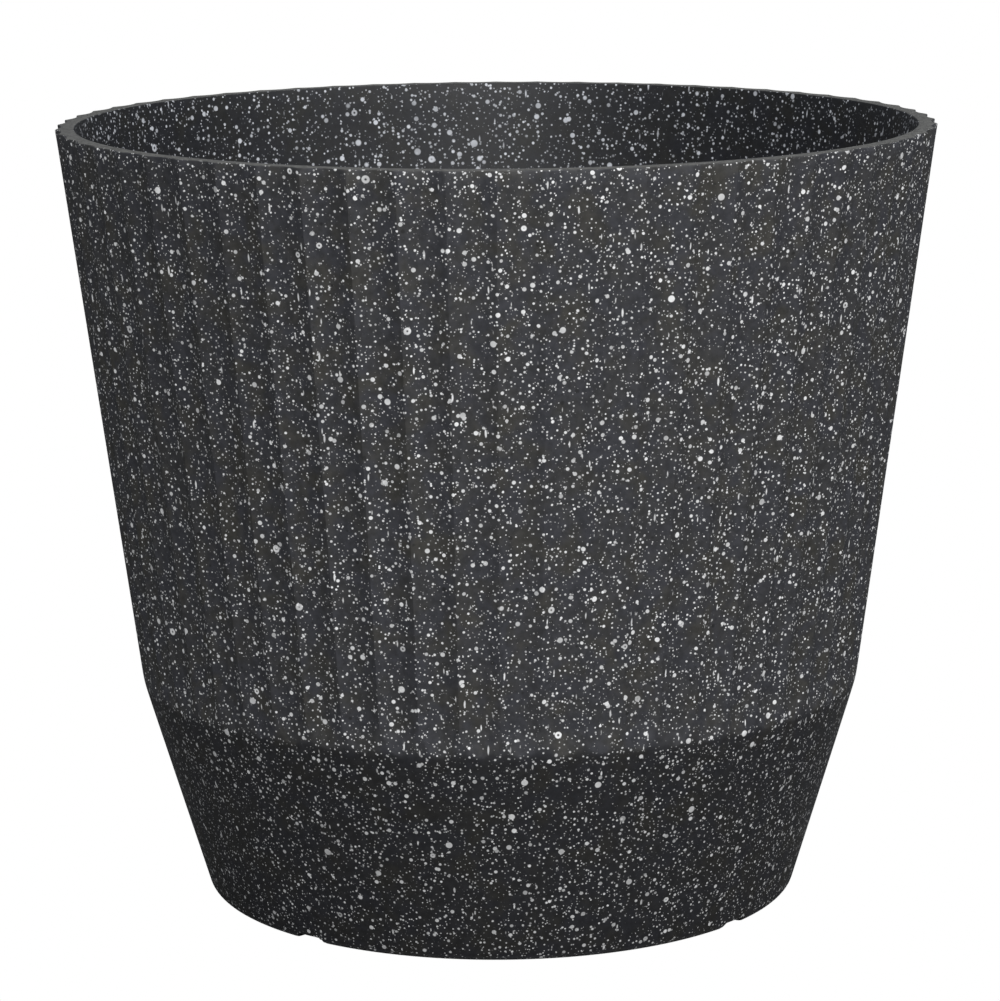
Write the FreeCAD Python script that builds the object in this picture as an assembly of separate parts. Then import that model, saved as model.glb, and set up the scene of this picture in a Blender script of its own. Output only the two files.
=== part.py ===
"""Self watering planter: a fluted round pot with a lift-out reservoir insert."""
import FreeCAD, Part
from FreeCAD import Vector
from math import cos, sin, radians, tan, pi
import os

# Millimetres, +Z up. Origin on the floor under the middle of the pot, front towards -Y.

# ---- driving dimensions ------------------------------------------------------------
rim_dia = 300.0            # cusp to cusp across the open top
pot_height = 267.0
knee_z = 76.0              # where the steep lower cone meets the fluted upper cone
knee_r = 124.8
base_r = 102.0             # lower cone carried down to the ground plane
knee_blend = 15.0
base_corner = 5.0
flute_count = 60
flute_depth = 1.8
flute_fade = 9.0           # height over which the flutes deepen above the knee
rim_wall = 6.6             # measured at a cusp
ledge_z = 68.0             # ledge that carries the separator plate
ledge_r = 118.8            # pot bore just above the ledge
ledge_width = 3.7
foot_height = 9.0          # hollow under the floor
floor_thk = 4.0
foot_ring_r = 93.0         # inner radius of the foot ring
foot_notch = (13.0, 2.6)   # width, height
foot_notch_turn = 5.5      # degrees from the diagonals
rib_thk = 2.4
rib_drop = 4.5
rib_inner_r = 24.0

plate_thk = 3.0
plate_play = 0.5           # radial, plate in pot
plate_rib = (108.0, 2.4, 6.0)     # inner radius, thickness, depth below the plate
slot_size = (12.0, 3.0)
grip_size = (34.0, 3.2, 24.0)
grip_r = 94.0

basket_ring_r = 60.0
basket_top_r = 22.0
basket_foot_r = 17.0
basket_wall = 1.8
basket_flange = (26.0, 2.0)
basket_lift = 3.0          # clear of the reservoir floor
leg_ring_r = 58.0
leg_r = 7.0
leg_bore_r = 5.0
leg_spigot_r = 4.5

tube_ring_r = 86.0        # fill tube and gauge stand this far from the axis
fill_angle = 255.0
gauge_angle = 290.0
fill_r = 15.0
fill_wall = 2.0
fill_top_z = 244.0
collar_r = 19.0
collar_depth = 8.0
collar_lip = 4.0
lid_thk = 2.6
hinge_gap = 0.5            # hinge knuckles to collar
pin_r = 1.5
pin_len = 17.0
knuckle_r = 3.2
lid_knuckle = 8.0

gauge_r = 9.0
gauge_wall = 1.4
gauge_top_z = 196.0
gauge_flange = (13.5, 2.0)
float_size = (6.9, 30.0)
float_draft = 14.0         # how deep the float sits in the water
rod_r = 1.2
rod_top_z = 206.0
tip_size = (5.2, 6.0)
gauge_cap_wall = 1.5

overflow_z = 55.0          # lip of the standpipe, the highest water level
pipe_r = 8.0
pipe_bore_r = 6.0
pipe_flange = (14.0, 3.0)
seal_thk = 2.0
nut_flats = 24.0
nut_height = 5.0
strainer_r = 11.5
strainer_skirt = 8.0
strainer_window = 6.0

push_gap = 0.05            # radial, pieces pushed or screwed together
seat_gap = 0.3             # pieces resting over one another
loose_gap = 0.4            # holes that only pass a piece

# ---- worked out --------------------------------------------------------------------
rim_r = rim_dia / 2
floor_z = foot_height + floor_thk
plate_z = ledge_z + plate_thk
upper_slope = (rim_r - knee_r) / (pot_height - knee_z)
lower_slope = (knee_r - base_r) / knee_z
tube_foot_z = floor_z + basket_lift
gauge_bore_r = gauge_r - gauge_wall
float_rest_z = tube_foot_z + 2.0 + seat_gap
float_travel = overflow_z - float_draft - float_rest_z
collar_top_z = fill_top_z + collar_lip
hinge_out = collar_r + knuckle_r + hinge_gap       # from the fill tube's axis
hinge_z = collar_top_z + seat_gap + lid_thk / 2
gauge_cap_z = rod_top_z + float_travel + 6.0

basket_spots = [(basket_ring_r, a) for a in (90, 210, 330)]
leg_spots = [(leg_ring_r, a) for a in (30, 150, 270)]


# ---- small makers ------------------------------------------------------------------
def polar(r, deg, z=0.0):
    return Vector(r * cos(radians(deg)), r * sin(radians(deg)), z)


def rod(r, z0, z1, at=Vector()):
    """Upright cylinder between two heights."""
    return Part.makeCylinder(r, z1 - z0, Vector(at.x, at.y, z0))


def ring(r_in, r_out, z0, z1, at=Vector()):
    return rod(r_out, z0, z1, at).cut(rod(r_in, z0 - 1, z1 + 1, at))


def cone(r0, r1, z0, z1, at=Vector()):
    return Part.makeCone(r0, r1, z1 - z0, Vector(at.x, at.y, z0))


def bar(length, width, z0, z1, at, deg, centred=True):
    """Upright box whose length points along the given bearing."""
    start = -length / 2 if centred else 0.0
    box = Part.makeBox(length, width, z1 - z0, Vector(start, -width / 2, z0))
    box.rotate(Vector(), Vector(0, 0, 1), deg)
    box.translate(Vector(at.x, at.y, 0))
    return box


def slot(length, width, z0, z1, at, deg):
    """Bar with half round ends."""
    reach = (length - width) / 2
    ends = [rod(width / 2, z0, z1, at + polar(side * reach, deg)) for side in (-1, 1)]
    return bar(length - width, width, z0, z1, at, deg).multiFuse(ends).removeSplitter()


def lathe(points):
    """Solid of revolution from (radius, height) points."""
    wire = Part.makePolygon([Vector(r, 0, z) for r, z in points + points[:1]])
    return Part.Face(wire).revolve(Vector(), Vector(0, 0, 1), 360)


def clear_of(point, spots, gap):
    return all((point - spot).Length > r + gap for spot, r in spots)


def save(node, shape):
    assert shape.isValid() and len(shape.Solids) == 1, node
    shape.Solids[0].exportStep(os.path.join("parts", node + ".step"))
    print(node, round(shape.Volume), [round(v, 2) for v in (
        shape.BoundBox.XLength, shape.BoundBox.YLength, shape.BoundBox.ZMax)])


# ---- pot ---------------------------------------------------------------------------
def scallop(z, depth):
    """Closed wire of shallow hollow arcs with a cusp every pitch."""
    r = knee_r + (z - knee_z) * upper_slope
    pitch = 360.0 / flute_count
    arcs = []
    for i in range(flute_count):
        # a cusp stands at the very front
        start = 270 + i * pitch
        arcs.append(Part.Arc(polar(r, start, z), polar(r - depth, start + pitch / 2, z),
                             polar(r, start + pitch, z)).toShape())
    return Part.Wire(arcs)


def pot_outside():
    """Fluted upper cone whose flutes fade out at the knee over a plain lower cone."""
    profile = Part.Wire(Part.makePolygon([
        Vector(0, 0, 0), Vector(base_r, 0, 0), Vector(knee_r, 0, knee_z),
        Vector(rim_r, 0, pot_height), Vector(0, 0, pot_height), Vector(0, 0, 0)]).Edges)
    body = Part.Face(profile).revolve(Vector(), Vector(0, 0, 1), 360)
    ring_edges = {}
    for edge in body.Edges:
        if isinstance(edge.Curve, Part.Circle):
            ring_edges[round(edge.Curve.Center.z, 3)] = edge
    body = body.makeFillet(knee_blend, [ring_edges[round(knee_z, 3)]])
    foot = [e for e in body.Edges if isinstance(e.Curve, Part.Circle)
            and abs(e.Curve.Center.z) < 0.001]
    body = body.makeFillet(base_corner, foot)
    tips_z = knee_z - 1.0
    fluted = Part.makeLoft([scallop(tips_z, 0.1), scallop(knee_z + flute_fade, flute_depth),
                            scallop(pot_height, flute_depth)], True, True)
    return body.common(fluted.fuse(rod(rim_r + 10, -1, tips_z)))


def pot_bore():
    """Room for soil above the ledge and for water below it."""
    lower_r = ledge_r - ledge_width
    floor_r = base_r + lower_slope * floor_z - 5.0
    return lathe([(0, floor_z), (floor_r, floor_z), (lower_r, ledge_z), (ledge_r, ledge_z),
                  (rim_r - rim_wall, pot_height), (rim_r - rim_wall, pot_height + 1),
                  (0, pot_height + 1)])


def planter_shell():
    pot = pot_outside().cut(pot_bore())
    pot = pot.cut(rod(foot_ring_r, -1, foot_height))
    width, height = foot_notch
    for i in range(4):
        turn = 45 + 90 * i + foot_notch_turn
        pot = pot.cut(bar(rim_r, width, -1, height, Vector(), turn, False))
    ribs = [bar(foot_ring_r + 1 - rib_inner_r, rib_thk, foot_height - rib_drop,
                foot_height + 1, polar(rib_inner_r, a), a, False) for a in range(0, 360, 45)]
    ribs.append(ring(rib_inner_r - 1, rib_inner_r + rib_thk, foot_height - rib_drop,
                     foot_height + 1))
    pot = pot.multiFuse(ribs)
    return pot.cut(rod(pipe_r + seat_gap, -1, floor_z + 1)).removeSplitter()


# ---- insert ------------------------------------------------------------------------
def separator_plate():
    """Perforated false floor with holes for everything that passes it."""
    edge_r = ledge_r - plate_play
    rib_r, rib_w, rib_h = plate_rib
    plate = rod(edge_r, ledge_z, plate_z)
    plate = plate.fuse(ring(rib_r, rib_r + rib_w, ledge_z - rib_h, ledge_z + 0.5))
    holes = [(polar(*spot), basket_top_r + loose_gap) for spot in basket_spots]
    holes += [(polar(*spot), leg_spigot_r + push_gap) for spot in leg_spots]
    holes += [(polar(tube_ring_r, fill_angle), fill_r + push_gap),
              (polar(tube_ring_r, gauge_angle), gauge_r + push_gap)]
    low, high = ledge_z - rib_h - 1, plate_z + 1
    cuts = [rod(r, low, high, spot) for spot, r in holes]
    length, width = slot_size
    for ring_r, count, along in ((24, 8, 0), (93, 36, 0), (36, 12, 90)):
        for i in range(count):
            bearing = 360.0 * (i + 0.5) / count
            spot = polar(ring_r, bearing)
            if clear_of(spot, holes, length):
                cuts.append(slot(length, width, low, high, spot, bearing + along))
    plate = plate.cut(Part.makeCompound(cuts))
    grips = []
    g_len, g_thk, g_h = grip_size
    for side in (0, 180):
        at = polar(grip_r + 10, side)
        tab = bar(g_thk, g_len, plate_z - 0.5, plate_z + g_h, at, side)
        eye = bar(g_thk + 2, g_len - 12, plate_z + 6, plate_z + g_h - 6, at, side)
        grips.append(tab.cut(eye))
    return plate.multiFuse(grips).removeSplitter()


def wick_basket(spot):
    """Slotted cup that hangs in the water and holds wicking soil."""
    at = polar(*spot)
    flange_r, flange_h = basket_flange
    top_z, foot_z = plate_z + flange_h, floor_z + basket_lift
    cup = cone(basket_foot_r, basket_top_r, foot_z, plate_z, at)
    cup = cup.multiFuse([rod(flange_r, plate_z, top_z, at)] + [
        bar(basket_top_r + 1.6, 7, ledge_z - 2.4, ledge_z - 0.4, at, spot[1] + 60 + a, False)
        for a in (0, 120, 240)])
    inner = cone(basket_foot_r - basket_wall, basket_top_r - basket_wall,
                 foot_z + basket_wall, plate_z, at)
    cup = cup.cut(inner.fuse(rod(basket_top_r - basket_wall, plate_z, top_z + 1, at)))
    cuts = []
    for i in range(12):
        turn = spot[1] + 30 * i
        for low, high in ((foot_z + 5, foot_z + 21), (foot_z + 25, foot_z + 41)):
            cuts.append(bar(basket_top_r + 4, 2.4, low, high, at, turn, False))
        if i % 2 == 0:
            cuts.append(rod(1.5, foot_z - 1, foot_z + 4, at + polar(10.5, turn)))
    cuts.append(rod(1.5, foot_z - 1, foot_z + 4, at))
    return cup.cut(Part.makeCompound(cuts))


def support_leg(spot):
    """Hollow post with a spigot pushed into the plate."""
    at = polar(*spot)
    foot_z = floor_z + seat_gap
    post = ring(leg_bore_r, leg_r, foot_z, ledge_z - 4, at)
    post = post.multiFuse([rod(leg_r, ledge_z - 4, ledge_z, at),
                           rod(leg_spigot_r, ledge_z, plate_z, at)])
    vents = [bar(3 * leg_r, 3, foot_z - 1, foot_z + 5, at, spot[1] + a) for a in (0, 90)]
    return post.cut(Part.makeCompound(vents)).removeSplitter()


# ---- fill tube ---------------------------------------------------------------------
fill_at = polar(tube_ring_r, fill_angle)
fill_bore_r = fill_r - fill_wall
hinge_at = fill_at + polar(hinge_out, fill_angle)


def cross_rod(r, width, shift=0.0):
    """Cylinder lying along the hinge axis."""
    side = polar(1, fill_angle + 90)
    start = hinge_at + side * (shift - width / 2) + Vector(0, 0, hinge_z)
    return Part.makeCylinder(r, width, start, side)


def fill_tube():
    tube = rod(fill_r, tube_foot_z, fill_top_z, fill_at)
    tube = tube.fuse(rod(fill_r + 4, plate_z, plate_z + 2, fill_at))
    tube = tube.cut(rod(fill_bore_r, tube_foot_z - 1, fill_top_z + 1, fill_at))
    vents = [bar(3 * fill_r, 6, tube_foot_z - 1, tube_foot_z + 14, fill_at, fill_angle + a)
             for a in (45, 135)]
    return tube.cut(Part.makeCompound(vents))


def fill_collar():
    """Mouth pushed on the tube, with two hinge lugs on the wall side."""
    body = rod(collar_r, fill_top_z - collar_depth, collar_top_z, fill_at)
    lug_w = (pin_len - lid_knuckle) / 2 - seat_gap - 0.6
    for side in (-1, 1):
        shift = side * (lid_knuckle / 2 + seat_gap + lug_w / 2)
        across = hinge_at + polar(shift, fill_angle + 90)
        inward = across + polar(-3.0, fill_angle)
        web = bar(6.0, lug_w, collar_top_z - 7, hinge_z, inward, fill_angle)
        web = web.cut(rod(collar_r - 1.0, collar_top_z, hinge_z + 1, fill_at))
        body = body.multiFuse([cross_rod(knuckle_r, lug_w, shift), web])
    body = body.cut(rod(fill_r + push_gap, 0, fill_top_z, fill_at))
    body = body.cut(rod(fill_bore_r, 0, collar_top_z + 5, fill_at))
    lid_room = ring(fill_bore_r, collar_r + 0.2, collar_top_z, hinge_z + 4, fill_at)
    return body.cut(lid_room).cut(cross_rod(pin_r + push_gap, pin_len + 4)).removeSplitter()


def fill_lid():
    low, high = collar_top_z + seat_gap, collar_top_z + seat_gap + lid_thk
    edge_r = collar_r - 0.6
    plug_r = fill_bore_r - 1.3
    strap = bar(hinge_out, lid_knuckle, low, high, fill_at, fill_angle, False)
    tab = bar(collar_r + 5, 12, low, high, fill_at, fill_angle + 180, False)
    body = rod(edge_r, low, high, fill_at).multiFuse([
        strap, tab, cross_rod(knuckle_r, lid_knuckle), rod(plug_r, low - 4, low, fill_at)])
    body = body.cut(rod(plug_r - 1.4, low - 5, low, fill_at))
    return body.cut(cross_rod(pin_r + push_gap, lid_knuckle + 4)).removeSplitter()


def hinge_pin():
    return cross_rod(pin_r, pin_len)


# ---- water gauge -------------------------------------------------------------------
gauge_at = polar(tube_ring_r, gauge_angle)


def gauge_tube():
    flange_r, flange_h = gauge_flange
    tube = rod(gauge_r, tube_foot_z, gauge_top_z, gauge_at)
    tube = tube.fuse(rod(flange_r, plate_z, plate_z + flange_h, gauge_at))
    tube = tube.cut(rod(gauge_bore_r, tube_foot_z + 2, gauge_top_z - 4, gauge_at))
    tube = tube.cut(rod(rod_r + loose_gap, gauge_top_z - 5, gauge_top_z + 1, gauge_at))
    cuts = [rod(gauge_bore_r, gauge_top_z - 2, gauge_top_z + 1, gauge_at),
            rod(gauge_bore_r - 3, tube_foot_z - 1, tube_foot_z + 3, gauge_at)]
    for a in (45, 135):
        cuts.append(bar(3 * gauge_r, 3, tube_foot_z + 4, tube_foot_z + 34, gauge_at,
                        gauge_angle + a))
    return tube.cut(Part.makeCompound(cuts))


def gauge_float():
    r, h = float_size
    body = rod(r, float_rest_z, float_rest_z + h, gauge_at)
    body = body.makeChamfer(1.2, [e for e in body.Edges if isinstance(e.Curve, Part.Circle)])
    return body.cut(rod(rod_r + push_gap, float_rest_z + h - 12, float_rest_z + h + 1, gauge_at))


def gauge_rod():
    return rod(rod_r, float_rest_z + float_size[1] - 12, rod_top_z - 2, gauge_at)


def gauge_tip():
    r, h = tip_size
    low = rod_top_z - h
    body = rod(r, low, rod_top_z, gauge_at)
    body = body.makeChamfer(0.8, [e for e in body.Edges if isinstance(e.Curve, Part.Circle)])
    return body.cut(rod(rod_r + push_gap, low - 1, rod_top_z - 2, gauge_at))


def gauge_cap():
    """Clear thimble in which the tip shows the water level."""
    outer_r = gauge_r + gauge_cap_wall
    body = rod(outer_r, gauge_top_z - 10, gauge_cap_z, gauge_at)
    crown = [e for e in body.Edges if isinstance(e.Curve, Part.Circle)
             and e.Curve.Center.z > gauge_cap_z - 1]
    body = body.makeFillet(2.5, crown)
    body = body.cut(rod(gauge_r + push_gap, 0, gauge_top_z, gauge_at))
    return body.cut(rod(gauge_bore_r, 0, gauge_cap_z - 2, gauge_at))


# ---- overflow ----------------------------------------------------------------------
flange_z = floor_z + seal_thk


def overflow_pipe():
    flange_r, flange_h = pipe_flange
    body = rod(pipe_r, 2, overflow_z).fuse(rod(flange_r, flange_z, flange_z + flange_h))
    return body.cut(rod(pipe_bore_r, 1, overflow_z + 1)).removeSplitter()


def overflow_seal():
    return ring(pipe_r + push_gap, pipe_flange[0], floor_z, flange_z)


def overflow_nut():
    corner = nut_flats / 2 / cos(pi / 6)
    points = [polar(corner, 60 * i, foot_height - nut_height) for i in range(7)]
    body = Part.Face(Part.makePolygon(points)).extrude(Vector(0, 0, nut_height))
    return body.cut(rod(pipe_r + push_gap, 0, foot_height + 1))


def overflow_strainer():
    """Slotted hood that keeps roots out of the standpipe."""
    low, lip = overflow_z - strainer_skirt, overflow_z + 1.5
    high = lip + strainer_window
    body = rod(strainer_r, low, high + 2)
    body = body.cut(rod(pipe_r + push_gap, low - 1, overflow_z))
    body = body.cut(rod(pipe_bore_r, low - 1, lip + 0.1)).cut(rod(strainer_r - 2, lip, high))
    cuts = [bar(3 * strainer_r, 2.6, lip, high - 0.5, Vector(), a) for a in range(0, 180, 30)]
    return body.cut(Part.makeCompound(cuts))


# ---- write -------------------------------------------------------------------------
os.makedirs("parts", exist_ok=True)
save("planter_shell", planter_shell())
save("separator_plate", separator_plate())
for number, spot in enumerate(basket_spots, 1):
    save(f"wick_basket_{number}", wick_basket(spot))
for number, spot in enumerate(leg_spots, 1):
    save(f"support_leg_{number}", support_leg(spot))
for maker in (fill_tube, fill_collar, fill_lid, hinge_pin, gauge_tube, gauge_float,
              gauge_rod, gauge_tip, gauge_cap, overflow_pipe, overflow_seal, overflow_nut,
              overflow_strainer):
    save(maker.__name__, maker())
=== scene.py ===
import bpy
import bmesh
from math import atan, atan2, cos, degrees, hypot, pi, radians, sin, sqrt
from mathutils import Matrix, Vector


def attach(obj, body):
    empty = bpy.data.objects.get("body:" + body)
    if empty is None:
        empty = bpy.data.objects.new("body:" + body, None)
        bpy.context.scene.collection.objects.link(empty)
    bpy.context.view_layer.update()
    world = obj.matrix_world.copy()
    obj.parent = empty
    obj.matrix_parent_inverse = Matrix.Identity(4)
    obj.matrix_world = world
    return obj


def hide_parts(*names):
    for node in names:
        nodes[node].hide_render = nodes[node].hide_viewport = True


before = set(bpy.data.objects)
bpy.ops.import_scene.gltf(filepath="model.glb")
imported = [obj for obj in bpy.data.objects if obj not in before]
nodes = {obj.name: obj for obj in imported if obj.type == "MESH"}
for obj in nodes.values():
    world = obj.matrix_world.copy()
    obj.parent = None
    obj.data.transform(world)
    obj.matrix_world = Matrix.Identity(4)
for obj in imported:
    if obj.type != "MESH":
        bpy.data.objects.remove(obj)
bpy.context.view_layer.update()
mm = 0.001


class Value:
    # a socket that takes part in Python sums
    def __init__(self, net, socket):
        self.net, self.socket = net, socket

    def maths(self, operation, *others, **settings):
        given = {0: self.socket}
        for place, other in enumerate(others, 1):
            given[place] = other.socket if isinstance(other, Value) else other
        return self.net.node("ShaderNodeMath", {"operation": operation, **settings}, given)

    def flipped(self, operation, other):
        return self.net.node("ShaderNodeMath", {"operation": operation}, {0: other, 1: self.socket})

    def __add__(self, other): return self.maths("ADD", other)
    def __radd__(self, other): return self.maths("ADD", other)
    def __sub__(self, other): return self.maths("SUBTRACT", other)
    def __rsub__(self, other): return self.flipped("SUBTRACT", other)
    def __mul__(self, other): return self.maths("MULTIPLY", other)
    def __rmul__(self, other): return self.maths("MULTIPLY", other)
    def __truediv__(self, other): return self.maths("DIVIDE", other)
    def __rtruediv__(self, other): return self.flipped("DIVIDE", other)
    def __lt__(self, other): return self.maths("LESS_THAN", other)
    def __gt__(self, other): return self.maths("GREATER_THAN", other)
    def __pow__(self, other): return self.maths("POWER", other)

    def clamped(self): return self.maths("ADD", 0.0, use_clamp=True)
    def larger(self, other): return self.maths("MAXIMUM", other)

    # 0 below low, 1 above high; low may be the larger one
    def ramp(self, low, high):
        return self.net.node("ShaderNodeMapRange", {"interpolation_type": "SMOOTHSTEP"},
                             {0: self, 1: low, 2: high, 3: 0.0, 4: 1.0})


class Net:
    # one material's nodes
    def __init__(self, name):
        self.material = bpy.data.materials.new(name)
        self.material.use_nodes = True
        self.tree = self.material.node_tree
        self.shader = self.tree.nodes["Principled BSDF"]
        self.place = self.node("ShaderNodeTexCoord", out="Object")

    def node(self, kind, settings=None, sockets=None, out=0):
        made = self.tree.nodes.new(kind)
        for name, setting in (settings or {}).items():
            if name == "stops":
                self.fillRamp(made, setting)
            else:
                setattr(made, name, setting)
        for name, given in (sockets or {}).items():
            self.join(given, made.inputs[name])
        return Value(self, made.outputs[out])

    def fillRamp(self, made, stops):
        elements = made.color_ramp.elements
        while len(elements) < len(stops):
            elements.new(1.0)
        for element, (position, colour) in zip(elements, stops):
            element.position, element.color = position, (*colour, 1.0)

    def join(self, given, socket):
        if isinstance(given, Value):
            given = given.socket
        if isinstance(given, bpy.types.NodeSocket):
            self.tree.links.new(given, socket)
        else:
            socket.default_value = given

    def set(self, **sockets):
        for name, given in sockets.items():
            found = [i for i in self.shader.inputs if i.name.replace(" ", "") == name]
            self.join(given, found[0])

    def mix(self, factor, first, second, blend="MIX"):
        return self.node("ShaderNodeMix", {"data_type": "RGBA", "blend_type": blend},
                         {0: factor, 6: first, 7: second}, out=2)

    def noise(self, size, detail=2.0, rough=0.5, at=None):
        return self.node("ShaderNodeTexNoise", None,
                         {"Vector": at or self.place, "Scale": 1 / size,
                          "Detail": detail, "Roughness": rough})

    def stretched(self, turn, scale):
        return self.node("ShaderNodeMapping", None,
                         {"Vector": self.place, "Rotation": turn, "Scale": scale})

    def bump(self, height, distance, strength=1.0, normal=None):
        sockets = {"Height": height, "Distance": distance, "Strength": strength}
        if normal:
            sockets["Normal"] = normal
        return self.node("ShaderNodeBump", None, sockets)

    def split(self, vector):
        made = self.node("ShaderNodeSeparateXYZ", None, {0: vector})
        return [Value(self, made.socket.node.outputs[i]) for i in range(3)]


def rgb(red, green, blue):
    return (red, green, blue, 1.0)


def outline(bm, points, closed=True):
    verts = [bm.verts.new((r, 0, z)) for r, z in points]
    pairs = zip(verts, verts[1:] + verts[:1]) if closed else zip(verts, verts[1:])
    return verts + [bm.edges.new(pair) for pair in pairs]


def spun(bm, geometry, steps):
    bmesh.ops.spin(bm, geom=geometry, cent=(0, 0, 0), axis=(0, 0, 1), angle=2 * pi,
                   steps=steps, use_merge=True, use_duplicate=False)
    bmesh.ops.remove_doubles(bm, verts=bm.verts, dist=1e-6)
    bmesh.ops.recalc_face_normals(bm, faces=bm.faces)


def finished(bm, name, materials, body, smooth=40):
    mesh = bpy.data.meshes.new(name)
    bm.to_mesh(mesh)
    bm.free()
    mesh.shade_smooth()
    mesh.set_sharp_from_angle(angle=radians(smooth))
    made = bpy.data.objects.new(name, mesh)
    bpy.context.scene.collection.objects.link(made)
    for material in materials:
        mesh.materials.append(material)
    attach(made, body)
    return made


def arc(middle, r, start, end, count):
    steps = [start + (end - start) * i / count for i in range(count + 1)]
    return [(middle[0] + r * cos(radians(a)), middle[1] + r * sin(radians(a))) for a in steps]


pot = dict(
    rimR=150 * mm, height=267 * mm, rimWall=6.6 * mm, edge=0.45 * mm,  # mouth
    kneeZ=76 * mm, kneeR=124.8 * mm, kneeRound=0.35 * mm,  # where the flutes run out
    baseR=102.0 * mm, corner=5 * mm,  # outside foot
    flutes=60, depth=1.8 * mm, cuspRound=0.10 * mm, tipsZ=74.5 * mm, scoop=10 * mm,
    perFlute=16,  # spin steps in one flute
    ledgeZ=68 * mm, ledgeR=118.8 * mm, ledgeWidth=3.7 * mm,  # seat of the separator plate
    floorZ=13 * mm, floorWall=5 * mm, floorCorner=2 * mm, hole=8.3 * mm,
    footZ=9 * mm, footR=93 * mm, footCorner=1.5 * mm, footEdge=0.5 * mm,  # recess below the floor
    notchWidth=13 * mm, notchHeight=2.6 * mm, notchRamp=1.2 * mm, notchTurn=5.5,
    skin=2.4 * mm)  # faces nearer the outer cone than this are outside


def softMin(a, b, blend):
    # the smaller of two lengths, with the corner between them rounded
    gap = (a - b) / (2 * blend)
    return (a + b) / 2 - blend * sqrt(gap * gap + 0.25)


def upperR(z):
    return pot["kneeR"] + (z - pot["kneeZ"]) * (pot["rimR"] - pot["kneeR"]) / (
        pot["height"] - pot["kneeZ"])


def lowerR(z):
    return pot["baseR"] + z * (pot["kneeR"] - pot["baseR"]) / pot["kneeZ"]


def flutedR(z, bearing):
    # hollow between two cusps, run out on the plain lower cone
    turn = ((bearing + 90) * pot["flutes"] / 360) % 1.0
    hollow = 1 - (2 * abs(turn - 0.5)) ** 2
    rise = min(1.0, max(0.0, (z - pot["tipsZ"]) / pot["scoop"]))
    shallow = (1 - rise) ** 1.3
    sunk = pot["depth"] * (hollow - shallow)
    fluted = softMin(upperR(z) - pot["cuspRound"], upperR(z) - sunk, pot["cuspRound"])
    return softMin(fluted, lowerR(z), pot["kneeRound"])


def potProfile():
    slope = atan((pot["kneeR"] - pot["baseR"]) / pot["kneeZ"])
    tangent = pot["corner"] * (1 / cos(slope) - sin(slope) / cos(slope))
    middle = (pot["baseR"] - tangent, pot["corner"])
    corner = arc(middle, pot["corner"], -90, -degrees(slope), 8)
    rows = [z * mm for z in (16, 34, 50, 62, 68, 72, 74, 74.5, 75, 75.5, 76, 76.5, 77, 77.6, 78.3,
                             79, 80, 81, 82, 83, 84, 85, 88, 94, 110, 150, 200, 240, 262)]
    outside = [(lowerR(z), z) for z in rows if z < pot["kneeZ"]] + [
        (upperR(z), z) for z in rows if z >= pot["kneeZ"]]
    top, edge = pot["height"], pot["edge"]
    inner = pot["rimR"] - pot["rimWall"]
    outerEdge = arc((pot["rimR"] - edge, top - edge), edge, 0, 90, 3)
    innerEdge = arc((inner + edge, top - edge), edge, 90, 180, 3)
    lowerInner = pot["ledgeR"] - pot["ledgeWidth"]
    floorR = lowerR(pot["floorZ"]) - pot["floorWall"]
    lean = (inner - pot["ledgeR"]) / (top - pot["ledgeZ"])
    bore = [(inner - lean * (top - z * mm), z * mm) for z in (258, 240, 200, 160, 120, 90, 70)]
    inside = bore + [(pot["ledgeR"] + 0.3 * mm, pot["ledgeZ"] + 0.1 * mm),
                     (pot["ledgeR"], pot["ledgeZ"]), (lowerInner + 0.6 * mm, pot["ledgeZ"]),
                     (lowerInner, pot["ledgeZ"] - 0.6 * mm),
                     ((lowerInner + floorR) / 2, (pot["ledgeZ"] + pot["floorZ"]) / 2)]
    inside += arc((floorR - 1.6 * mm, pot["floorZ"] + pot["floorCorner"]),
                  pot["floorCorner"], 0, -90, 4)
    floor = [(60 * mm, pot["floorZ"]), (30 * mm, pot["floorZ"]), (pot["hole"], pot["floorZ"]),
             (pot["hole"], pot["footZ"]), (50 * mm, pot["footZ"])]
    recess = [(pot["footR"] - pot["footCorner"], pot["footZ"]),
              (pot["footR"], pot["footZ"] - pot["footCorner"]),
              (pot["footR"], pot["notchHeight"]), (pot["footR"], pot["footEdge"]),
              (pot["footR"] + pot["footEdge"], 0)]
    return corner + outside + outerEdge + innerEdge + inside + floor + recess


def pressFlutes(bm):
    # push the outer wall in between the cusps
    for vert in bm.verts:
        x, y, z = vert.co
        r = hypot(x, y)
        inset = min(upperR(z), lowerR(z)) - r
        if z > 60 * mm and inset < 1.2 * mm:
            scale = (flutedR(z, degrees(atan2(y, x))) - inset) / r
            vert.co.x, vert.co.y = x * scale, y * scale


def pressNotches(bm):
    # shallow ways out for water under the foot ring
    half = pot["notchWidth"] / 2
    for vert in bm.verts:
        x, y, z = vert.co
        r = hypot(x, y)
        if r < pot["footR"] - 0.1 * mm or z > pot["notchHeight"]:
            continue
        off = (degrees(atan2(y, x)) - 45 - pot["notchTurn"] + 45) % 90 - 45
        across = abs(radians(off)) * r
        lift = pot["notchHeight"] * min(1.0, max(0.0, (half - across) / pot["notchRamp"]))
        vert.co.z = max(z, lift)


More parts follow.
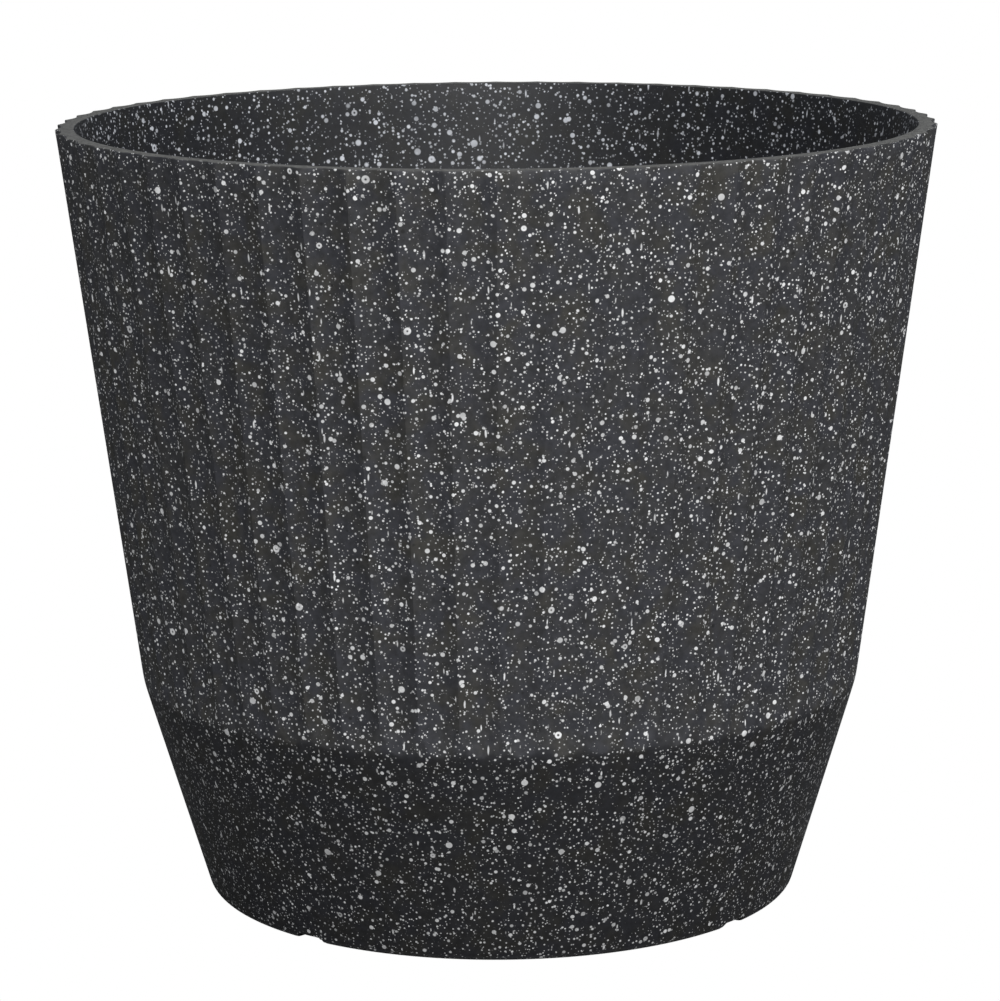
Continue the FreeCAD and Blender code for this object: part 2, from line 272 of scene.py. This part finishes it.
def makePot(outsideMaterial, rimMaterial, insideMaterial):
    bm = bmesh.new()
    spun(bm, outline(bm, potProfile()), pot["flutes"] * pot["perFlute"])
    pressFlutes(bm)
    pressNotches(bm)
    for face in bm.faces:
        middle = face.calc_center_median()
        r = hypot(middle.x, middle.y)
        outer = lowerR(middle.z) if middle.z < pot["kneeZ"] else upperR(middle.z)
        if middle.z > pot["height"] - 0.1 * mm:
            face.material_index = 1  # trimmed rim
        elif middle.z > pot["floorZ"] - mm and r < outer - pot["skin"]:
            face.material_index = 2  # inside
    made = finished(bm, "potShell", [outsideMaterial, rimMaterial, insideMaterial], "pot",
                    35)
    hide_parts("planter_shell")
    print("pot", len(made.data.polygons))


ribs = dict(count=8, thick=2.4 * mm, drop=4.5 * mm, inner=24 * mm, bevel=0.5 * mm,
            sunk=0.1 * mm, hubEdge=0.4 * mm)


def makeRibs(material):
    # stiffening ribs under the floor
    bm = bmesh.new()
    length = pot["footR"] + mm - ribs["inner"]
    for i in range(ribs["count"]):
        bar = bmesh.ops.create_cube(bm, size=1)["verts"]
        bmesh.ops.scale(bm, vec=(length, ribs["thick"], ribs["drop"]), verts=bar)
        bmesh.ops.translate(bm, vec=(ribs["inner"] + length / 2, 0,
                                     pot["footZ"] - ribs["drop"] / 2 + ribs["sunk"]), verts=bar)
        bmesh.ops.rotate(bm, cent=(0, 0, 0), verts=bar,
                         matrix=Matrix.Rotation(2 * pi * i / ribs["count"], 3, "Z"))
    lowEdges = [e for e in bm.edges if max(v.co.z for v in e.verts) < pot["footZ"] - 2 * mm]
    bmesh.ops.bevel(bm, geom=lowEdges, offset=ribs["bevel"], segments=2, affect="EDGES",
                    profile=0.5, material=-1)
    low, high = pot["footZ"] - ribs["drop"], pot["footZ"] + ribs["sunk"]
    near, far, edge = ribs["inner"] - mm, ribs["inner"] + ribs["thick"], ribs["hubEdge"]
    hub = bmesh.new()
    spun(hub, outline(hub, [(near, high), (near, low + edge), (near + edge, low),
                            (far - edge, low), (far, low + edge), (far, high)]), 96)
    made = bpy.data.meshes.new("hub")
    hub.to_mesh(made)
    hub.free()
    bm.from_mesh(made)
    bpy.data.meshes.remove(made)
    finished(bm, "floorRibs", [material], "pot")
    print("ribs")


# band is painted shade that darkens the band below the flutes; the other colours are the plastic's
# own
speck = dict(base=rgb(0.040, 0.040, 0.042), warm=rgb(0.046, 0.044, 0.039),
             cool=rgb(0.040, 0.041, 0.048), dark=rgb(0.012, 0.012, 0.012),
             white=rgb(0.97, 0.97, 0.97), band=rgb(0.46, 0.46, 0.47), rough=0.52,
             # grains, in millimetres, each layer turned its own way
             layers=[dict(cell=1.40, small=0.12, big=0.44, soft=0.08),
                     dict(cell=1.15, small=0.05, big=0.30, soft=0.08, turn=(0.5, 1.1, 0.2)),
                     dict(cell=2.9, small=0.35, big=0.80, soft=0.11, turn=(1.3, 0.4, 0.8),
                          share=0.8),
                     dict(cell=7.5, small=0.7, big=1.15, soft=0.13, turn=(0.2, 0.9, 1.9),
                          share=0.5),
                     dict(cell=8.5, small=0.9, big=1.30, soft=0.13, turn=(0.8, 0.1, 0.5),
                          share=0.3, ringed=True)],
             # a few drawn-out threads, laid every way
             threadTurns=[(0.3, 0.7, 0.1), (1.4, 0.2, 0.9), (0.9, 1.6, 0.4)])


def dots(net, cell, small, big, soft, at=None, share=1.0, ringed=False):
    # round grains of mixed size: how much of one covers each point, and the grain's own number
    sockets = {"Vector": at or net.place, "Scale": 1 / cell, "Randomness": 1.0}
    near = net.node("ShaderNodeTexVoronoi", {"feature": "F1"}, sockets)
    grain = Value(net, near.socket.node.outputs["Color"])
    pick, bright, kind = net.split(grain)
    size = (small + (big - small) * pick ** 2.0) / cell
    edge = soft / cell
    cover = near.ramp(size + edge, size - edge)
    if ringed:
        cover = cover * near.ramp(size * 0.35 - edge, size * 0.35 + edge)
    if share < 1.0:
        cover = cover * (kind < share)
    return cover, bright


def speckled(name, grow=1.0, blur=1.0, shade=1.0, shadeTint=rgb(1, 1, 1)):
    # dark plastic with white flecks moulded in
    net = Net(name)
    tone = net.noise(16 * mm, 3.0).ramp(0.36, 0.64)
    cloud = net.noise(2.6 * mm, 3.0, 0.6).ramp(0.3, 0.7) * 0.45 + 0.80
    hue = net.noise(9 * mm, 2.0, at=net.stretched((0.4, 0.2, 0.9), (1, 1, 1))).ramp(0.35, 0.65)
    colour = net.mix(hue, net.mix(tone, speck["base"], speck["warm"]), speck["cool"])
    # painted shade: the plain band below the flutes is smoother, and here its colour is darkened
    # and its flecks dimmed because it faces down away from the lamps
    x, y, z = net.split(net.place)
    fall = (pot["kneeR"] - pot["baseR"]) / pot["kneeZ"]
    inset = pot["baseR"] + z * fall - (x * x + y * y) ** 0.5
    shadedBandMask = inset.ramp(0.45 * mm, 0.05 * mm)
    colour = net.mix(shadedBandMask, colour, net.mix(1.0, colour, speck["band"], "MULTIPLY"))
    # shade darkens the base colour as painted shade; it is below 1 only for the inside wall
    grey = net.node("ShaderNodeCombineColor", None,
                    {0: cloud * shade, 1: cloud * shade, 2: cloud * shade})
    colour = net.mix(1.0, colour, grey, "MULTIPLY")
    crowd = net.noise(7 * mm, 2.0, 0.6).ramp(0.25, 0.75)
    cover = None
    for layer in speck["layers"]:
        at = net.stretched(layer.get("turn", (0, 0, 0)), (1, 1, 1))
        part, bright = dots(net, layer["cell"] * mm * grow, layer["small"] * mm * grow,
                            layer["big"] * mm * grow, layer["soft"] * mm * blur, at,
                            layer.get("share", 1.0), layer.get("ringed", False))
        part = part * (0.62 + 0.5 * bright) * (0.68 + 0.4 * crowd)
        cover = part if cover is None else cover.larger(part)
    for turn in speck["threadTurns"]:
        at = net.stretched(turn, (1, 1, 0.22))
        part, bright = dots(net, 3.4 * mm * grow, 0.14 * mm, 0.36 * mm, 0.10 * mm * blur, at, 0.5)
        cover = cover.larger(part * (0.6 + 0.4 * bright))
    black, _ = dots(net, 4.2 * mm, 0.2 * mm, 0.75 * mm, 0.25 * mm,
                    net.stretched((0.7, 0.3, 1.2), (1, 1, 1)), 0.6)
    colour = net.mix(black * 0.7, colour, speck["dark"])
    # painted shade: the flecks on the band below the flutes are dimmed too
    cover = (cover * (1.0 - 0.22 * shadedBandMask)).clamped()
    colour = net.mix(cover, colour, speck["white"])
    # painted shade: shadeTint dims and cools the whole colour, flecks included, for the inside wall
    colour = net.mix(1.0, colour, shadeTint, "MULTIPLY")
    fine = net.noise(0.5 * mm, 2.0)
    wave = net.noise(30 * mm, 2.0)
    normal = net.bump(fine, 0.02 * mm, 0.5, net.bump(wave, 0.5 * mm, 0.35))
    net.set(BaseColor=colour, Roughness=speck["rough"] + 0.08 * fine - 0.06 * cover,
            SpecularIORLevel=0.42, Normal=normal)
    return net.material


def rimFinish():
    # trimmed edge: plain and a little lighter, with a fine fibrous grain
    net = Net("rimEdge")
    fibre = net.noise(1.2 * mm, 4.0, 0.65)
    cloud = net.noise(8 * mm, 2.0)
    colour = net.mix(fibre.ramp(0.3, 0.75), rgb(0.060, 0.060, 0.058), rgb(0.190, 0.189, 0.182))
    colour = net.mix(cloud * 0.4, colour, rgb(0.110, 0.109, 0.104))
    net.set(BaseColor=colour, Roughness=0.62 + 0.1 * fibre, SpecularIORLevel=0.35,
            Normal=net.bump(fibre, 0.08 * mm, 0.5))
    return net.material


def moulded(name, colour, shade=0.75, grain=0.45, rough=0.45, mottle=0.25):
    # plain moulded plastic with a fine spark-eroded grain and flow marks
    net = Net(name)
    flow = net.noise(22 * mm, 3.0, 0.55, net.stretched((0, 0, 0), (1, 1, 0.35)))
    fine = net.noise(grain * mm, 2.0, 0.6)
    scuff = net.noise(3.5 * mm, 5.0, 0.7).ramp(0.58, 0.78)
    darker = rgb(*[c * shade for c in colour])
    lighter = rgb(*[min(1.0, c * 1.25 + 0.01) for c in colour])
    mixed = net.mix(flow.ramp(0.3, 0.7), darker, rgb(*colour))
    mixed = net.mix(scuff * mottle, mixed, lighter)
    net.set(BaseColor=mixed, Roughness=rough + 0.14 * fine + 0.1 * scuff,
            SpecularIORLevel=0.45, Normal=net.bump(fine, 0.03 * mm, 0.5,
                                                   net.bump(flow, 0.3 * mm, 0.3)))
    return net.material


def drawnMetal(name, colour, rough, along=(1, 1, 0.03)):
    net = Net(name)
    line = net.noise(0.35 * mm, 4.0, 0.6, net.stretched((0, 0, 0), along))
    stain = net.noise(6 * mm, 3.0)
    dull = rgb(*[c * 0.72 for c in colour])
    net.set(BaseColor=net.mix(stain.ramp(0.35, 0.75), rgb(*colour), dull), Metallic=1.0,
            Roughness=rough + 0.2 * line, Normal=net.bump(line, 0.01 * mm, 0.6))
    return net.material


def clearFinish():
    # clear cap: thin see-through wall, scuffed a little and tinted a faint blue-green
    net = Net("clearCap")
    scuff = net.noise(2.4 * mm, 4.0, 0.7).ramp(0.55, 0.8)
    dust = net.noise(9 * mm, 3.0).ramp(0.4, 0.8)
    tone = net.mix(dust, rgb(0.82, 0.90, 0.92), rgb(0.70, 0.80, 0.80))
    net.set(BaseColor=tone, Roughness=0.06 + 0.22 * scuff, SpecularIORLevel=0.6,
            Alpha=0.26 + 0.14 * scuff + 0.1 * dust, Normal=net.bump(scuff, 0.02 * mm, 0.3))
    net.material.surface_render_method = "BLENDED"
    return net.material


def foamFinish():
    net = Net("floatFoam")
    bead = net.node("ShaderNodeTexVoronoi", {"feature": "DISTANCE_TO_EDGE"},
                    {"Vector": net.place, "Scale": 1 / (2.6 * mm)})
    seam = bead.ramp(0.10, 0.02)
    damp = net.noise(9 * mm, 3.0).ramp(0.45, 0.75)
    colour = net.mix(damp * 0.5, rgb(0.80, 0.77, 0.69), rgb(0.60, 0.55, 0.44))
    colour = net.mix(seam * 0.45, colour, rgb(0.50, 0.46, 0.38))
    net.set(BaseColor=colour, Roughness=0.75 + 0.1 * damp,
            Normal=net.bump(bead.ramp(0.0, 0.25), 0.25 * mm, 0.6))
    return net.material


def rubberFinish():
    net = Net("sealRubber")
    bloom = net.noise(4 * mm, 4.0, 0.65).ramp(0.45, 0.8)
    fine = net.noise(0.4 * mm, 2.0)
    net.set(BaseColor=net.mix(bloom, rgb(0.018, 0.018, 0.019), rgb(0.055, 0.053, 0.050)),
            Roughness=0.72 + 0.12 * fine, Normal=net.bump(fine, 0.03 * mm, 0.5))
    return net.material


def dress(material, *names):
    for name in names:
        mesh = nodes[name].data
        mesh.materials.clear()
        mesh.materials.append(material)


def dressInsert():
    dress(moulded("plateGrey", (0.115, 0.120, 0.125)), "separator_plate", "support_leg_1",
          "support_leg_2", "support_leg_3")
    dress(moulded("basketGreen", (0.045, 0.105, 0.060), grain=0.6), "wick_basket_1",
          "wick_basket_2", "wick_basket_3")
    dress(moulded("tubeBlack", (0.038, 0.038, 0.041), rough=0.38), "fill_tube", "gauge_tube")
    dress(moulded("mouthGreen", (0.040, 0.150, 0.085), rough=0.36), "fill_collar", "fill_lid")
    dress(drawnMetal("pinSteel", (0.62, 0.61, 0.60), 0.22, (0.03, 1, 1)), "hinge_pin")
    dress(foamFinish(), "gauge_float")
    dress(drawnMetal("rodAluminium", (0.80, 0.81, 0.82), 0.25), "gauge_rod")
    dress(moulded("tipRed", (0.68, 0.030, 0.020), rough=0.22, mottle=0.1), "gauge_tip")
    dress(clearFinish(), "gauge_cap")
    dress(moulded("pipeBlack", (0.045, 0.045, 0.050), rough=0.42), "overflow_pipe",
          "overflow_nut", "overflow_strainer")
    dress(rubberFinish(), "overflow_seal")
    print("insert dressed")


studio = dict(distance=1.35, eye=0.4034, pitch=0.1963, yaw=-0.0003, roll=-0.0070, lens=142.2,
              floorSize=6.0)
lamps = dict(
    keyLamp=dict(place=(1.9, -1.5, 1.9), target=(0, 0, 0.15), size=(0.9, 0.9), power=30.0),
    fillLamp=dict(place=(0.05, -2.5, 1.35), target=(0, 0, 0.14), size=(0.5, 0.5), power=42.0),
    topLamp=dict(place=(0, 0.2, 2.4), target=(0, 0, 0), size=(1.6, 1.6), power=13.0))


def makeCamera():
    made = bpy.data.objects.new("camera", bpy.data.cameras.new("camera"))
    made.data.lens = studio["lens"]
    made.data.sensor_width = 36
    made.data.clip_end = 50
    made.data.dof.use_dof = False
    made.matrix_world = (Matrix.Translation((0, -studio["distance"], studio["eye"]))
                         @ Matrix.Rotation(studio["yaw"], 4, "Z")
                         @ Matrix.Rotation(pi / 2 - studio["pitch"], 4, "X")
                         @ Matrix.Rotation(studio["roll"], 4, "Z"))
    bpy.context.scene.collection.objects.link(made)
    bpy.context.scene.camera = made


def makeLamp(name, place, target, size, power):
    lamp = bpy.data.lights.new(name, "AREA")
    lamp.shape, lamp.size, lamp.size_y, lamp.energy = "RECTANGLE", size[0], size[1], power
    made = bpy.data.objects.new(name, lamp)
    made.location = place
    made.rotation_euler = (Vector(target) - Vector(place)).to_track_quat("-Z", "Y").to_euler()
    bpy.context.scene.collection.objects.link(made)


def seenWhite(tree):
    # white to the camera, straight or through the clear cap, and darker to every other ray
    path = tree.nodes.new("ShaderNodeLightPath")
    either = tree.nodes.new("ShaderNodeMath")
    either.operation = "MAXIMUM"
    tree.links.new(path.outputs["Is Camera Ray"], either.inputs[0])
    tree.links.new(path.outputs["Is Transmission Ray"], either.inputs[1])
    return either.outputs[0]


def makeFloor():
    bm = bmesh.new()
    bmesh.ops.create_grid(bm, x_segments=2, y_segments=2, size=studio["floorSize"])
    bmesh.ops.translate(bm, vec=(0, 0, -0.0005), verts=bm.verts)
    mesh = bpy.data.meshes.new("floor")
    bm.to_mesh(mesh)
    bm.free()
    floor = bpy.data.objects.new("floor", mesh)
    bpy.context.scene.collection.objects.link(floor)
    material = bpy.data.materials.new("paleFloor")
    material.use_nodes = True
    tree = material.node_tree
    shader = tree.nodes["Principled BSDF"]
    shader.inputs["Base Color"].default_value = rgb(0.16, 0.16, 0.16)
    shader.inputs["Roughness"].default_value = 0.9
    glow = tree.nodes.new("ShaderNodeEmission")
    blend = tree.nodes.new("ShaderNodeMixShader")
    tree.links.new(seenWhite(tree), blend.inputs[0])
    tree.links.new(shader.outputs[0], blend.inputs[1])
    tree.links.new(glow.outputs[0], blend.inputs[2])
    tree.links.new(blend.outputs[0], tree.nodes["Material Output"].inputs["Surface"])
    mesh.materials.append(material)


def makeRoom():
    world = bpy.data.worlds.new("room")
    bpy.context.scene.world = world
    world.use_nodes = True
    tree = world.node_tree
    seen = tree.nodes["Background"]
    seen.inputs["Color"].default_value = rgb(1, 1, 1)
    soft = tree.nodes.new("ShaderNodeBackground")
    soft.inputs["Color"].default_value = rgb(0.9, 0.95, 1.0)
    soft.inputs["Strength"].default_value = 0.22
    blend = tree.nodes.new("ShaderNodeMixShader")
    tree.links.new(seenWhite(tree), blend.inputs[0])
    tree.links.new(soft.outputs[0], blend.inputs[1])
    tree.links.new(seen.outputs[0], blend.inputs[2])
    tree.links.new(blend.outputs[0], tree.nodes["World Output"].inputs["Surface"])


def lightUp():
    for name, lamp in lamps.items():
        makeLamp(name, **lamp)
    bpy.context.scene.view_settings.view_transform = "Standard"
    print("studio")


outsideFinish = speckled("potSpeckle")
# painted shade: the inside wall is a darker, cooler copy of the outside speckle, with larger and
# softer flecks
insideShadedFinish = speckled("potSpeckleInsideShaded", grow=1.25, blur=1.8, shade=0.50,
                        shadeTint=rgb(0.70, 0.72, 0.77))
makePot(outsideFinish, rimFinish(), insideShadedFinish)
makeRibs(outsideFinish)
dressInsert()
makeCamera()
makeFloor()
makeRoom()
lightUp()
